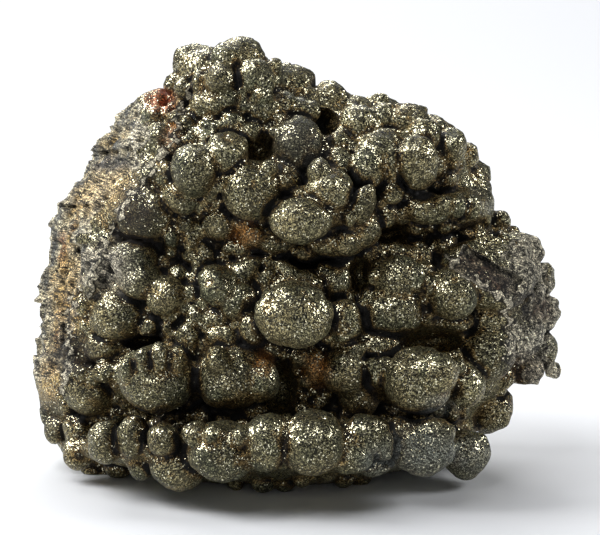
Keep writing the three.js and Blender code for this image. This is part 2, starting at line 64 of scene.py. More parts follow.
# Lumps: across, up, half width, half height, how far the middle stands out of the mass, lean in degrees.
peakLumps = [
    (-11.8, 42, 4.4, 4, -1), (-14.8, 42, 3, 3, -3), (-21.2, 40.4, 4, 4, -7), (-9.2, 38.2, 3.4, 3.4, 1),
    (-7.2, 37.2, 2, 2, 3), (-15.6, 37.6, 3.2, 3.2, 2), (-19.2, 36.4, 2.4, 3, 0),
    (-14.4, 34.2, 2.4, 2.4, 3), (-18.8, 32.4, 3, 3, 2), (-16.4, 33, 2.8, 2.8, 2),
    (-2.4, 36, 5.4, 4.2, 0), (1.8, 34.2, 2, 2, 1), (-7.6, 34.6, 2.2, 2.2, 3),
    (-10.8, 32.8, 2.4, 2.4, 3), (-7.6, 31.2, 3.4, 4, 3.5), (-3.4, 32.4, 2.6, 2.6, 3),
    (-0.6, 32, 2, 2, 3), (2.2, 31.2, 1.8, 1.8, 2.5), (-13.4, 28.8, 2.8, 2.8, 2),
    (-17.6, 28.6, 2, 2, 1), (-22, 28.4, 2.2, 2.2, -1), (-19, 26, 1.8, 1.8, 0),
]
upperLumps = [
    (-14.8, 23, 4.2, 4, 4), (-21.2, 19.4, 4.8, 4.8, 4), (-27.4, 18, 2.4, 3.4, 3),
    (-23.4, 14.2, 4.2, 3.2, 4), (-0.4, 24.4, 5.2, 5, 1), (-9.6, 15.4, 6, 5.6, 4.5),
    (-3, 18, 3.4, 3.2, 3), (-6.4, 20, 1.8, 1.8, 4), (5.6, 15.4, 5, 4.4, 5), (7.6, 21, 3.2, 2.8, 3),
    (3.6, 19.6, 2.4, 2.4, 2.5), (11.8, 28.4, 4, 4, 2), (16.4, 30, 3.2, 3.2, 1.5),
    (21, 28.8, 4.8, 3.8, 2), (15.6, 22.8, 5.2, 4.6, 2.5), (13.4, 19.8, 3.8, 4, 5.5),
    (18.2, 20.4, 2.2, 4.2, 4), (23.4, 20.8, 4, 5.4, 4.5), (24.8, 26.4, 2.8, 3.2, 3),
    (29.8, 24.4, 3.4, 3.4, 2), (34, 16.8, 4.2, 4.6, 3), (29, 18, 2.6, 2.8, 0),
    (12.6, 12.6, 2.6, 4.4, 5, -25), (18, 15.6, 2.6, 2.6, 4), (0, 9.2, 6.4, 4.2, 4),
    (-9.6, 7, 2.8, 3, 1.5), (-5, 5, 4, 2.6, 2), (7, 6, 6, 4, 2.5), (13, 8, 3.2, 3.2, 3),
    (9, 5, 2.4, 2.4, 4), (2, 3.4, 4, 2.2, 2),
]
rightLedgeLumps = [
    (25.4, 11.8, 5, 3, 4), (28.6, 12.8, 2, 2.4, 5), (31.6, 12.4, 2, 2.4, 5),
    (34.6, 11.8, 2.2, 2.4, 4.5), (20.4, 11.4, 2.4, 2.4, 1), (39.4, 9.2, 2.2, 1.6, 2),
    (36.6, 9.6, 1.6, 1.6, 3),
]
leftHollowLumps = [
    (-30, 11.4, 6.6, 5.8, -1), (-22.8, 9.2, 2.8, 3, -1), (-16, 9, 3.4, 3.8, 0), (-19.4, 8, 1.6, 2, 0),
]
middleLumps = [
    (-33.2, 1.4, 4.8, 4, 2), (-31.6, -2.4, 4.6, 3.6, 3), (-26.4, -5.6, 4, 3.8, 3.5),
    (-27, 1.6, 2.2, 2.2, 2), (-25.6, 4, 1.8, 1.8, 1), (-21.6, 3.2, 2.2, 1.8, 1.5),
    (-18, 2.8, 2.2, 2, 1.5), (-14.4, 2.4, 2.2, 1.8, 1), (-24, -1, 2.8, 2.4, 0),
    (-36.2, -9.4, 6.2, 5.2, 0.5), (-38.8, -16, 4.4, 3.2, 1), (-44.8, -16.8, 3.2, 4.2, -4),
    (-16.2, -3.6, 4, 4, 2.5), (-12, -1, 2.8, 2.6, 2), (-9.6, 0, 2, 2.4, 2.5), (-13, -6.4, 4, 4.4, 2.5),
    (-20.6, -9.6, 2.4, 2.4, 1.5), (-17, -9.6, 2.8, 2.2, 2), (-6.4, 1.2, 2.2, 2, 1),
    (-3.4, -0.4, 2.2, 2, 0), (-1, -9.8, 7.7, 6, 6.5), (-9.6, -12.6, 3, 3.8, 3),
    (9, -11.2, 3.6, 4.6, 4), (7.4, -3.4, 2.8, 3.4, 1), (18.8, -8.4, 6, 5, 4),
    (19.4, -2.6, 4.4, 4.4, 2.5), (15.2, -1.4, 1.6, 1.6, 4), (23, -2.4, 2, 2.8, 3),
    (30.4, -5.4, 4.9, 4.8, 5), (24.8, 2, 1.6, 1.6, 2), (37.4, -9.6, 4.6, 4, 2), (31, -10.4, 4, 2, 1.5),
    (37, -16.6, 5.8, 5.8, 2.5),
]
lowerLumps = [
    (-42, -24.4, 5.4, 4.8, 2), (-45.8, -21.6, 1.6, 1.6, 3), (-43.4, -21.4, 1.6, 1.6, 4),
    (-41, -22, 1.6, 1.6, 5), (-38.4, -20.8, 2.8, 2.2, 2), (-28.6, -22.4, 7.8, 6, 5),
    (-34.6, -21, 1.6, 3, 5), (-31.6, -19.2, 1.6, 3, 5.5), (-28, -18.4, 2, 3, 5.5),
    (-24.8, -18.8, 1.8, 2.6, 5), (-22, -15, 2.6, 4, 3), (-13.4, -22, 7.8, 6.2, 5),
    (-15.4, -14, 3.6, 3, 2), (-7.4, -23, 3.4, 4, 4), (-16.4, -18.4, 2.4, 2.4, 5),
    (-12.4, -28, 6.4, 2.2, 1), (3.2, -19.6, 2.4, 3.6, 2), (15.6, -15.4, 4.4, 2.8, 4),
    (11, -16.4, 2.6, 2.6, 3), (9.2, -20.8, 5, 4.4, 3.5), (11.6, -25.6, 4.4, 5.4, 4.5),
    (4.4, -26.4, 2.4, 2.2, 2), (23.6, -23, 6.8, 6.2, 5), (27.4, -21, 4.2, 4, 7.5),
    (33.2, -23.8, 3.6, 3.8, 4.5), (37.8, -28.2, 4.4, 5, 3),
]
footLumps = [
    (-44, -32.8, 3.4, 3.6, 5), (-39.2, -35.2, 3.4, 4.4, 6), (-44.2, -37, 3.4, 3.2, 4),
    (-33.4, -33.6, 3.4, 4.2, 6), (-36.4, -39.8, 2.6, 2.4, 2), (-31.8, -39, 3, 3.4, 7),
    (-27.4, -34.2, 3, 3.2, 8), (-24.4, -39, 5.8, 5.4, 8), (-21.2, -33.4, 2.8, 2.4, 8),
    (-15.6, -36.8, 7.2, 5.4, 7), (-17.6, -33.2, 2, 2, 8), (-12, -33.6, 2.2, 2.2, 8),
    (-6.6, -35, 5, 5.6, 8), (2.6, -35.2, 6.8, 5.8, 9), (13.2, -33.4, 4.8, 3.8, 8),
    (10, -37.2, 5.2, 3.8, 7), (14.8, -38.8, 4, 2.8, 6), (24.4, -36.4, 6.4, 5.2, 8),
    (27, -33.2, 3.8, 2.6, 9), (33, -37.2, 5.2, 4.4, 6), (20, -32.4, 2.4, 2.4, 6),
    (17, -35.6, 2, 2.8, 6),
]

# Lumps at the far right: across, up, out, half width, half height.
farRightLumps = [
    (45, 4, -12, 3.4, 2.4), (48.6, -2, -14, 2, 3.4), (48.2, -8.6, -10, 3.2, 3.2),
    (44, -9.6, -6, 2.8, 5), (48.6, -16, -10, 2.8, 3.4), (45.2, -20, -6, 3.4, 2.8),
    (50.4, -19.4, -10, 1.4, 1.4), (42, -14, -3, 2.8, 4),
]

# Bits of the broken plate that show behind the top: across, up, out, size.
backChips = [
    (-8, 38.6, -9, 3.4), (-3, 38.2, -10, 3.4), (4.5, 32.4, -12, 3.6), (10, 31, -13, 3.6),
    (16, 32, -12, 3.4), (22, 30, -12, 3.6), (27, 26.4, -12, 3.4),
]
chips = {"tallness": 0.8, "splinters": 0.8}

# The slab at the right, and its bare end.
slab = {"place": (37, -1, 5), "halfSizes": (10, 7.5, 8), "splinters": 0.6}
slabFace = {
    "place": (37.6, -1, 9), "way": (0.86, -0.5, 0), "halfLength": 6.9, "halfWidth": 2.7, "depth": 6,
    "sunk": 1, "ragged": 0.4, "raggedGrain": 1.6, "raggedSeed": 43,
}

# Uneven faces that the nodule broke off along: a place on it, its facing, and how rough it is.
# A ledge has the height of its lower edge and how far it stands out there.
slabBreak = {"middle": (36.5, 0.5, 9.5), "facing": (0.35, 0.55, 0.75), "rough": 0.7, "ledges": []}
breaks = [
    {
        "middle": (-32, 24, 3), "facing": (-0.81, 0.41, 0.4), "rough": 1.5,
        "ledges": [(24.4, 1.3), (13.5, 1), (5.4, 1.7)],
    },
    {
        "middle": (-48.6, -10, -6), "facing": (-0.94, 0.14, 0.3), "rough": 1.8,
        "ledges": [(-6.5, 1.2), (-26, 1.4)],
    },
    {"middle": (-4, -4, -27), "facing": (0, 0.12, -0.99), "rough": 2.4, "ledges": []},
]
# How the lumps, the hollows and the broken faces grow.
growth = {
    "hollowDepth": 8, "hollowMargin": 2, "margin": 3, "outside": 12, "buried": -50, "noFront": -60,
    "fallOff": 1.5, "proudShare": 0.5, "depth": 1.32, "frontShare": 0.9, "droop": 26, "sunk": 0.28,
    "lift": 0.1, "creaseShare": 0.1, "creaseLeast": 0.2, "creaseMost": 0.6, "coarseGrain": 13,
    "fineGrain": 5, "fineBumps": 0.5, "ledgeLength": 8,
}
# Small lumps fill the gaps. A pair is the least share of a size, and how much may be drawn on top.
gaps = {
    "rows": (-42, 44), "columns": (-50, 52), "spacing": 2, "smallest": 1.2, "largest": 3.8,
    "overlap": 1.4, "raised": 0.25, "rooted": 3, "hollowReach": 1.2, "backLimit": -8,
    "clearOfBreaks": 1.5, "width": (0.85, 0.15), "height": (0.85, 0.3),
}
# Rings of lumps round the top and the right: out, start, end and step in degrees, and radius.
sideRings = [(-7, -48, 118, 9.5, 4.4), (-14, -55, 100, 9.5, 4.8), (-21, -50, 110, 10, 4.4)]
sides = {
    "startReach": 60, "stepIn": 0.5, "middleUp": -5, "rooted": 0.7, "turnShare": 0.5, "outSpread": 3,
    "width": (0.75, 0.5), "height": (0.85, 0.3),
}

# Where the crust is gone and bare rock shows on the front: across, up, half width, half height.
barePatches = [
    (45.6, 1.6, 4.6, 6), (48.4, -8, 3.6, 6.4), (45.6, -14.6, 4.4, 5), (49, -21, 4, 4),
    (-39, 1, 4, 4), (-36, 22, 4.4, 3), (-33, 27, 3, 3),
]
bareRock = {
    "band": 1.6, "height": 1.2, "level": 0.45, "fade": 1.5, "fineShare": 0.5,
    "grains": [(2.6, 45), (1.3, 46)],
}
# Torn edges of the crust, as lines of places across and up.
tornEdges = [
    [
        (-22, 36), (-24.4, 31), (-25, 26), (-29.6, 21.4), (-30.4, 18), (-35, 14), (-37, 9), (-39, 6),
        (-41, 0), (-42, -5),
    ],
    [(-44.6, -4), (-46.6, -10), (-46, -16), (-47.4, -24)],
    [(29.8, 2.6), (33, 0), (37.6, -3), (41.2, -7), (44.6, -3.4), (45, -2)],
    [(41.2, -7), (41.8, -12), (41.4, -18)],
]
# A wave has its height, how quickly it turns, and a shift.
tornEdge = {
    "ridge": 0.4, "width": 0.45, "furthest": 4.0, "waves": [(0.55, 2.1, 1), (0.25, 5.3, 0)],
    "breadth": (0.95, 0.5), "breadthTurns": (1.3, 1.9),
}
frontEnd = -14  # marks on the front reach back this far
farAway = 9

drawn = 20261  # where the run of drawn numbers starts
drawing = {"times": 1664525, "plus": 1013904223, "wrap": 2 ** 32}


def draw():
    # the next of a repeatable run of numbers from 0 to 1
    global drawn
    drawn = (drawn * drawing["times"] + drawing["plus"]) % drawing["wrap"]
    return drawn / drawing["wrap"]


def drawFrom(least, spread):
    return least + spread * draw()


def eyeShrink(out):
    return 1 - out / eye["distance"]


def spotAt(place):
    shrink = eyeShrink(place[2])
    return np.array((place[0] * shrink, place[1] * shrink, place[2]))


def unit(direction):
    direction = np.array(direction, float)
    return direction / np.linalg.norm(direction)


def massFront(across, up):
    # how far out the mass under the lumps comes
    front = growth["noFront"]
    for middleAcross, middleUp, out, halfWidth, halfHeight, halfDepth in core:
        spread = math.hypot((across - middleAcross) / halfWidth, (up - middleUp) / halfHeight)
        rise = math.sqrt(1 - spread * spread) if spread < 1 else growth["fallOff"] * (1 - spread)
        front = max(front, out + halfDepth * rise)
    return front


def insideMass(across, up, out):
    return any(
        ((across - a) / w) ** 2 + ((up - u) / h) ** 2 + ((out - o) / d) ** 2 < 1
        for a, u, o, w, h, d in core
    )


def beyondBreaks(place):
    return max(unit(face["facing"]) @ (spotAt(place) - spotAt(face["middle"])) for face in breaks)


def lumpFront(lump, across, up):
    place, halfWidth, halfHeight, _ = lump
    square = ((across - place[0]) / halfWidth) ** 2 + ((up - place[1]) / halfHeight) ** 2
    if square > 1:
        return growth["noFront"]
    depth = growth["frontShare"] * growth["depth"] * min(halfWidth, halfHeight)
    return place[2] + depth * math.sqrt(1 - square)


def listedLumps():
    # a small lump sits on the larger one it lies over
    found = []
    listed = peakLumps + upperLumps + rightLedgeLumps + leftHollowLumps
    listed = listed + middleLumps + lowerLumps + footLumps
    largestFirst = sorted(listed, key=lambda row: -row[2] * row[3])
    for across, up, halfWidth, halfHeight, proud, *lean in largestFirst:
        onMass = massFront(across, up) + growth["proudShare"] * proud
        onLarger = max([lumpFront(lump, across, up) for lump in found] + [growth["noFront"]])
        out = max(onMass, onLarger) - growth["sunk"] * min(halfWidth, halfHeight)
        place = (across, up + growth["lift"] * halfHeight, out)
        found.append((place, halfWidth, halfHeight, lean[0] if lean else 0))
    for across, up, out, halfWidth, halfHeight in farRightLumps:
        found.append(((across, up, out), halfWidth, halfHeight, 0))
    return found


def gapLumps(listed):
    # lumps that fill what the listed ones leave bare, each grown until it just meets its neighbours
    grown = []

    def clearance(across, up):
        return min(
            (math.hypot((across - place[0]) / w, (up - place[1]) / h) - 1) * min(w, h)
            for place, w, h, _ in listed + grown
        )

    def inHollow(across, up):
        return any(
            math.hypot((across - a) / w, (up - u) / h) < gaps["hollowReach"]
            for a, u, w, h in hollows
        )

    for row in range(*gaps["rows"], gaps["spacing"]):
        for column in range(*gaps["columns"], gaps["spacing"]):
            across = column + gaps["spacing"] * (draw() - 0.5)
            up = row + gaps["spacing"] * (draw() - 0.5)
            room = min(gaps["largest"], clearance(across, up) + gaps["overlap"])
            halfWidth = room * drawFrom(*gaps["width"])
            halfHeight = halfWidth * drawFrom(*gaps["height"])
            place = (across, up, massFront(across, up) + gaps["raised"] * halfWidth)
            fits = halfWidth >= gaps["smallest"] and not inHollow(across, up)
            onMass = insideMass(across, up, place[2] - gaps["rooted"])
            clear = place[2] > gaps["backLimit"] and beyondBreaks(place) < -gaps["clearOfBreaks"]
            if fits and onMass and clear:
                grown.append((place, halfWidth, halfHeight, 0))
    return grown


def ringSpot(reach, angle, out):
    return reach * math.cos(angle), reach * math.sin(angle) + sides["middleUp"], out


def sideLumps():
    # lumps that wrap over the top and the right, behind what the front shows
    grown = []
    for ringOut, start, end, step, radius in sideRings:
        degrees = start
        while degrees < end:
            angle = math.radians(degrees + step * sides["turnShare"] * (draw() - 0.5))
            halfWidth = radius * drawFrom(*sides["width"])
            halfHeight = halfWidth * drawFrom(*sides["height"])
            reach = sides["startReach"]
            while not insideMass(*ringSpot(reach, angle, ringOut)):
                reach -= sides["stepIn"]
            reach -= halfWidth * sides["rooted"]
            out = ringOut + sides["outSpread"] * (draw() - 0.5)
            grown.append((ringSpot(reach, angle, out), halfWidth, halfHeight, 0))
            degrees += step
    return grown


# The block of space that the nodule is worked out in, and how finely.
space = {"low": (-58, -46, -34), "high": (60, 50, 41), "step": 0.5, "quickStep": 0.8}

axisLines = [
    np.arange(low, high, space["step"], dtype=np.float32)
    for low, high in zip(space["low"], space["high"])
]
gridShape = tuple(len(line) for line in axisLines)


def laidAlong(axis, line):
    # a line of values shaped to run along one axis of the block
    return line.reshape([-1 if i == axis else 1 for i in range(3)])


def gridSpots(near):
    # where the picked points of the grid lie
    return np.stack([axisLines[axis][near[axis]] for axis in range(3)], 1)


def eased(part):
    return part * part * (3 - 2 * part)


def spreadLattice(values, first, grain):
    # smooth values between the corners of a lattice, one direction after another
    for axis, line in enumerate(axisLines):
        place = line / grain - first[axis]
        corner = np.floor(place).astype(int)
        part = laidAlong(axis, eased(place - corner).astype(np.float32))
        values = np.take(values, corner, axis) * (1 - part) + np.take(values, corner + 1, axis) * part
    return values


bumpHash = {"steps": (127.1, 311.7, 74.7), "scale": 43758.5453}


def unevenness(grain):
    # the same bumps as the solid's broken faces have
    first = [math.floor(line[0] / grain) for line in axisLines]
    last = [math.floor(line[-1] / grain) + 2 for line in axisLines]
    corners = np.meshgrid(*[np.arange(a, b) for a, b in zip(first, last)], indexing="ij")
    stepped = sum(corner * step for corner, step in zip(corners, bumpHash["steps"]))
    value = np.sin(stepped) * bumpHash["scale"]
    value = (2 * (value - np.floor(value)) - 1).astype(np.float32)
    return spreadLattice(value, first, grain)


def noise(grain, seed):
    first = [math.floor(line[0] / grain) for line in axisLines]
    counts = [math.ceil((line[-1] - line[0]) / grain) + 3 for line in axisLines]
    values = np.random.default_rng(seed).uniform(-1, 1, counts).astype(np.float32)
    return spreadLattice(values, first, grain)


def layeredNoise(layers, shift=0):
    return sum(strength * noise(grain, seed + shift) for strength, grain, seed in layers)


def windowOf(middle, reach):
    # the part of the grid within reach of a place
    window = []
    for axis, line in enumerate(axisLines):
        start = np.searchsorted(line, middle[axis] - reach[axis])
        end = np.searchsorted(line, middle[axis] + reach[axis])
        window.append(slice(start, max(end, start + 1)))
    return tuple(window)


def turnedBy(degrees, first, second):
    turn = math.radians(degrees)
    cosine = math.cos(turn)
    sine = math.sin(turn)
    return first * cosine + second * sine, second * cosine - first * sine


def bodyDistance(place, halfSizes, warp, margin, lean=0, droop=0):
    # roughly how far each spot near a rounded body lies outside it
    middle = spotAt(place)
    halfSizes = np.array(halfSizes) * eyeShrink(place[2])
    reach = max(halfSizes) if droop else max(halfSizes[:2])
    window = windowOf(middle, [reach + margin, reach + margin, max(reach, halfSizes[2]) + margin])
    x, y, z = [
        laidAlong(axis, axisLines[axis][window[axis]]) + warp[axis][window] - np.float32(middle[axis])
        for axis in range(3)
    ]
    if lean:
        x, y = turnedBy(lean, x, y)
    if droop:
        y, z = turnedBy(droop, y, z)
    square = (x / halfSizes[0]) ** 2 + (y / halfSizes[1]) ** 2 + (z / halfSizes[2]) ** 2
    slope = np.sqrt(
        (x / halfSizes[0] ** 2) ** 2 + (y / halfSizes[1] ** 2) ** 2 + (z / halfSizes[2] ** 2) ** 2
    )
    spread = np.sqrt(square)
    return window, (spread * (spread - 1) / (slope + tiny)).astype(np.float32)


def blendedLeast(first, second, width):
    # the lesser of two distances, with the crease between them slightly filled
    near = np.maximum(width - np.abs(first - second), 0) / width
    return np.minimum(first, second) - near * near * width * 0.25


def breakDistance(face, bumps):
    # how far each spot lies beyond a face that the nodule broke off along
    outward = unit(face["facing"])
    middle = spotAt(face["middle"])
    flat = sum((laidAlong(axis, axisLines[axis]) - middle[axis]) * outward[axis] for axis in range(3))
    ledge = np.zeros(len(axisLines[1]))
    for bottom, height in face["ledges"]:
        above = axisLines[1] - bottom
        ledge = np.maximum(ledge, np.where(above < 0, 0, height * (1 - above / growth["ledgeLength"])))
    return (flat - face["rough"] * bumps - laidAlong(1, ledge)).astype(np.float32)


# Small knobs crowd the upper sides of the lumps. Finer ones lie all over, and broad ones behind.
knobs = {
    "small": {"size": 2.5, "height": 0.75, "level": 0.35, "seed": 51},
    "fine": {"size": 1.5, "height": 0.26, "level": 0.4, "seed": 52},
    "broad": {"size": 6, "height": 1.5, "level": 0.6, "seed": 53},
    "band": 1.8, "cells": 32, "jitter": (0.1, 0.9), "reachSquared": 0.64, "patchSize": 9,
    "patchSeed": 61, "patchShare": 0.5, "upperSlope": 1.25, "flatShare": 0.1, "fineShare": 0.5,
    "fineLeast": 0.15, "broadFrom": -6, "broadFade": 4,
}


def knobHeight(spots, knob):
    # rounded knobs, one in each cell of a jittered lattice
    cells = knobs["cells"]
    rng = np.random.default_rng(knob["seed"])
    jitter = rng.uniform(*knobs["jitter"], (cells, cells, cells, 3)).astype(np.float32)
    place = spots / knob["size"]
    corner = np.floor(place).astype(int)
    least = np.full(len(spots), farAway, np.float32)
    for step in np.ndindex(3, 3, 3):
        cell = corner + np.array(step) - 1
        middle = cell + jitter[tuple((cell % cells).T)]
        least = np.minimum(least, ((place - middle) ** 2).sum(1))
    return np.sqrt(np.maximum(0, 1 - least / knobs["reachSquared"]))


def addKnobs(field):
    near = np.nonzero(np.abs(field) < knobs["band"])
    inner = tuple(np.clip(near[axis], 1, gridShape[axis] - 2) for axis in range(3))
    spots = gridSpots(near)
    rise = field[inner[0], inner[1] + 1, inner[2]] - field[inner[0], inner[1] - 1, inner[2]]
    facingUp = rise / (2 * space["step"])
    patchy = noise(knobs["patchSize"], knobs["patchSeed"])[near]
    upper = knobs["upperSlope"] * facingUp + knobs["flatShare"] + knobs["patchShare"] * patchy
    shares = {
        "small": np.clip(upper, 0, 1),
        "fine": np.clip(knobs["fineShare"] + patchy, knobs["fineLeast"], 1),
        "broad": np.clip((knobs["broadFrom"] - spots[:, 2]) / knobs["broadFade"], 0, 1),
    }
    for kind, share in shares.items():
        knob = knobs[kind]
        field[near] -= knob["height"] * share * (knobHeight(spots, knob) - knob["level"])


# The broken rock: fibres that run in from the rim, and layers that follow the crust.
fibres = {
    "along": 5, "across": 0.9, "height": 0.75, "rimWay": (-0.3, -0.95, 0), "band": 2.4,
    "overCrust": 1.5, "curl": 0.7, "curlSize": 5, "fineShare": 0.4, "fineScale": 2.3, "crest": 2.8,
    "crestHeight": 1.1, "crestLevel": 0.35, "layer": 1.3, "layerHeight": 0.5, "layerWaver": 0.5,
    "waverSize": 4, "layerShare": 1.2, "layerFade": 8, "seed": 81, "rightFrom": 20, "rightGrain": 1.6,
}


def stretchedNoise(place, seed):
    # smooth noise at any spots, with bumps one unit wide
    cells = 64
    values = np.random.default_rng(seed).uniform(-1, 1, (cells, cells, cells)).astype(np.float32)
    corner = np.floor(place).astype(int)
    part = eased(place - corner)
    total = np.zeros(len(place), np.float32)
    for step in np.ndindex(2, 2, 2):
        weight = np.prod(np.where(step, part, 1 - part), axis=1)
        total += weight * values[tuple(((corner + step) % cells).T)]
    return total


def fibreWays(face):
    # the way a face looks, and what turns a place into steps along, across and out of its fibres
    outward = unit(face["facing"])
    along = unit(np.cross(outward, fibres["rimWay"]))
    across = np.cross(outward, along)
    ways = (along / fibres["along"], across / fibres["across"], outward / fibres["along"])
    return outward, np.stack(ways)


def addFibres(distance, face, crustField):
    near = np.nonzero((np.abs(distance) < fibres["band"]) & (crustField < fibres["overCrust"]))
    spots = gridSpots(near)
    seed = fibres["seed"]
    curl = [stretchedNoise(spots / fibres["curlSize"] + shift, seed) for shift in (0, 20, 40)]
    curled = spots + fibres["curl"] * np.stack(curl, 1)
    _, ways = fibreWays(face)
    laid = curled @ ways.T
    relief = fibres["height"] * stretchedNoise(laid, seed + 1)
    fine = stretchedNoise(laid * fibres["fineScale"], seed + 2)
    relief += fibres["fineShare"] * fibres["height"] * fine
    crest = np.abs(stretchedNoise(curled / fibres["crest"], seed + 4))
    relief += fibres["crestHeight"] * (fibres["crestLevel"] - crest)
    depth = np.clip(-crustField[near], 0, growth["outside"])
    waver = fibres["layerWaver"] * stretchedNoise(spots / fibres["waverSize"], seed + 3)
    layered = np.abs((depth / fibres["layer"] + waver) % 2 - 1)
    shown = np.clip(fibres["layerShare"] - depth / fibres["layerFade"], 0, 1)
    relief += fibres["layerHeight"] * (layered - 0.5) * shown
    distance[near] -= relief


def shownPlace(spots):
    # across and up, as the eye sees each spot
    return spots[:, :2] / eyeShrink(spots[:, 2:])


def awayFrom(spots, across, up, halfWidth, halfHeight):
    # how far outside an oval on the front a spot shows, 1 on its edge
    away = np.linalg.norm((shownPlace(spots) - (across, up)) / (halfWidth, halfHeight), axis=1)
    return np.where(spots[:, 2] > frontEnd, away, farAway)


def bareness(spots):
    shares = [np.clip(bareRock["fade"] - awayFrom(spots, *patch), 0, 1) for patch in barePatches]
    return np.max(shares, axis=0)


def tornDistance(spots):
    # how far each spot on the front shows from the nearest torn edge
    shown = shownPlace(spots)
    swapped = shown[:, ::-1]
    for height, turns, shift in tornEdge["waves"]:
        shown = shown + height * np.sin(turns * swapped + shift)
    torn = np.full(len(spots), tornEdge["furthest"])
    for line in tornEdges:
        for start, end in zip(np.array(line[:-1]), np.array(line[1:])):
            way = end - start
            share = np.clip((shown - start) @ way / (way @ way), 0, 1)
            torn = np.minimum(torn, np.linalg.norm(shown - start - share[:, None] * way, axis=1))
    middle, change = tornEdge["breadth"]
    acrossTurns, upTurns = tornEdge["breadthTurns"]
    torn = torn * (middle + change * np.sin(acrossTurns * shown[:, 0] + upTurns * shown[:, 1]))
    return np.where(spots[:, 2] > frontEnd, torn, tornEdge["furthest"])


def roughen(field):
    # a low ridge along each torn edge, and jagged bare rock
    near = np.nonzero(np.abs(field) < bareRock["band"])
    spots = gridSpots(near)
    coarse, fine = [np.abs(noise(grain, seed)[near]) for grain, seed in bareRock["grains"]]
    jagged = coarse + bareRock["fineShare"] * fine
    ridge = tornEdge["ridge"] * np.exp(-((tornDistance(spots) / tornEdge["width"]) ** 2))
    field[near] -= ridge + bareRock["height"] * bareness(spots) * (bareRock["level"] - jagged)


def sunkSlab(cut):
    # the bare end of the slab, sunk into the crust around it
    way = unit(slabFace["way"])
    middle = spotAt(slabFace["place"])
    x, y, z = [laidAlong(axis, axisLines[axis]) - middle[axis] for axis in range(3)]
    along = np.abs(x * way[0] + y * way[1]) - slabFace["halfLength"]
    sideways = np.abs(y * way[0] - x * way[1]) - slabFace["halfWidth"]
    beside = np.maximum(np.maximum(along, sideways), -z - slabFace["depth"]).astype(np.float32)
    ragged = slabFace["ragged"] * noise(slabFace["raggedGrain"], slabFace["raggedSeed"])
    return np.minimum(cut + slabFace["sunk"], -beside - ragged)


# Layers of unevenness: strength, size and seed of each.
warpLayers = [(0.5, 7, 11), (0.3, 2.8, 21), (0.16, 1.3, 31)]
splinterLayers = [(0.5, 2.2, 41), (0.3, 1.1, 42)]


def growLumps(field, lumps, warp):
    for place, halfWidth, halfHeight, lean in lumps:
        least = min(halfWidth, halfHeight)
        sizes = (halfWidth, halfHeight, growth["depth"] * least)
        window, distance = bodyDistance(place, sizes, warp, growth["margin"], lean, growth["droop"])
        crease = min(growth["creaseMost"], max(growth["creaseLeast"], growth["creaseShare"] * least))
        field[window] = blendedLeast(field[window], distance, crease)


def noduleField():
    warp = [layeredNoise(warpLayers, axis) for axis in range(3)]
    print("field: unevenness ready")
    field = np.full(gridShape, growth["outside"], np.float32)
    for across, up, out, *halfSizes in core:
        window, distance = bodyDistance((across, up, out), halfSizes, warp, growth["outside"])
        field[window] = np.minimum(field[window], distance)
    for across, up, halfWidth, halfHeight in hollows:
        place = (across, up, massFront(across, up))
        sizes = (halfWidth, halfHeight, growth["hollowDepth"])
        window, distance = bodyDistance(place, sizes, warp, growth["hollowMargin"])
        field[window] = np.maximum(field[window], -distance)

    bumps = unevenness(growth["coarseGrain"]) + growth["fineBumps"] * unevenness(growth["fineGrain"])
    splinters = layeredNoise(splinterLayers)
    window, distance = bodyDistance(slab["place"], slab["halfSizes"], warp, growth["margin"])
    cut = breakDistance(slabBreak, bumps + slab["splinters"] * splinters)
    field[window] = np.minimum(field[window], np.maximum(distance, cut[window]))

    listed = listedLumps()
    lumps = listed + gapLumps(listed) + sideLumps()
    growLumps(field, lumps, warp)
    for across, up, out, size in backChips:
        sizes = (size, size * chips["tallness"], size)
        window, distance = bodyDistance((across, up, out), sizes, warp, growth["margin"])
        field[window] = np.minimum(field[window], distance + chips["splinters"] * splinters[window])
    print("field:", len(lumps), "lumps grown")
    addKnobs(field)

    broken = np.full(gridShape, growth["buried"], np.float32)
    for face in breaks:
        distance = breakDistance(face, bumps + splinters)
        addFibres(distance, face, field)
        broken = np.maximum(broken, distance)
    roughen(field)
    slabCut = sunkSlab(cut)
    whole = np.maximum(np.maximum(field, broken), slabCut)
    height = laidAlong(1, axisLines[1]) * math.cos(tilt) + laidAlong(2, axisLines[2]) * math.sin(tilt)
    whole = np.maximum(whole, -(height + seat[2]))
    return {"whole": whole, "crust": field, "broken": broken, "slabCut": slabCut, "lumps": lumps}


def toFrame(spots):
    # tips the eye's directions into the frame, in metres
    x, y, z = spots.T
    turned = (x, y * math.sin(tilt) - z * math.cos(tilt), y * math.cos(tilt) + z * math.sin(tilt))
    return (np.stack(turned, 1) + np.array(seat)) / mmPerMetre


def sampled(field, spots):
    # the field between grid points
    place = (spots - np.array(space["low"])) / space["step"]
    corner = np.clip(np.floor(place).astype(int), 0, np.array(gridShape) - 2)
    part = np.clip(place - corner, 0, 1)
    total = np.zeros(len(spots))
    for step in range(8):
        bits = np.array([step & 1, (step >> 1) & 1, (step >> 2) & 1])
        weight = np.prod(np.where(bits, part, 1 - part), axis=1)
        total += weight * field[tuple((corner + bits).T)]
    return total


def seen(red, green, blue):
    # a colour as it shows on a screen, from 0 to 255, turned into how much light it gives
    return tuple(
        part / 255 / 12.92 if part / 255 <= 0.04045 else ((part / 255 + 0.055) / 1.055) ** 2.4
        for part in (red, green, blue)
    )


# Colours as seen on a screen.
stainColours = {
    "rust": (192, 108, 72), "ochre": (152, 100, 38), "clay": (140, 112, 86), "sand": (216, 190, 142),
    "straw": (194, 164, 110), "ash": (162, 155, 138), "slate": (54, 60, 70), "dust": (108, 112, 106),
    "smoke": (60, 58, 50), "earth": (74, 54, 38), "sootAndShade": (38, 28, 18), "umber": (58, 38, 24),
}
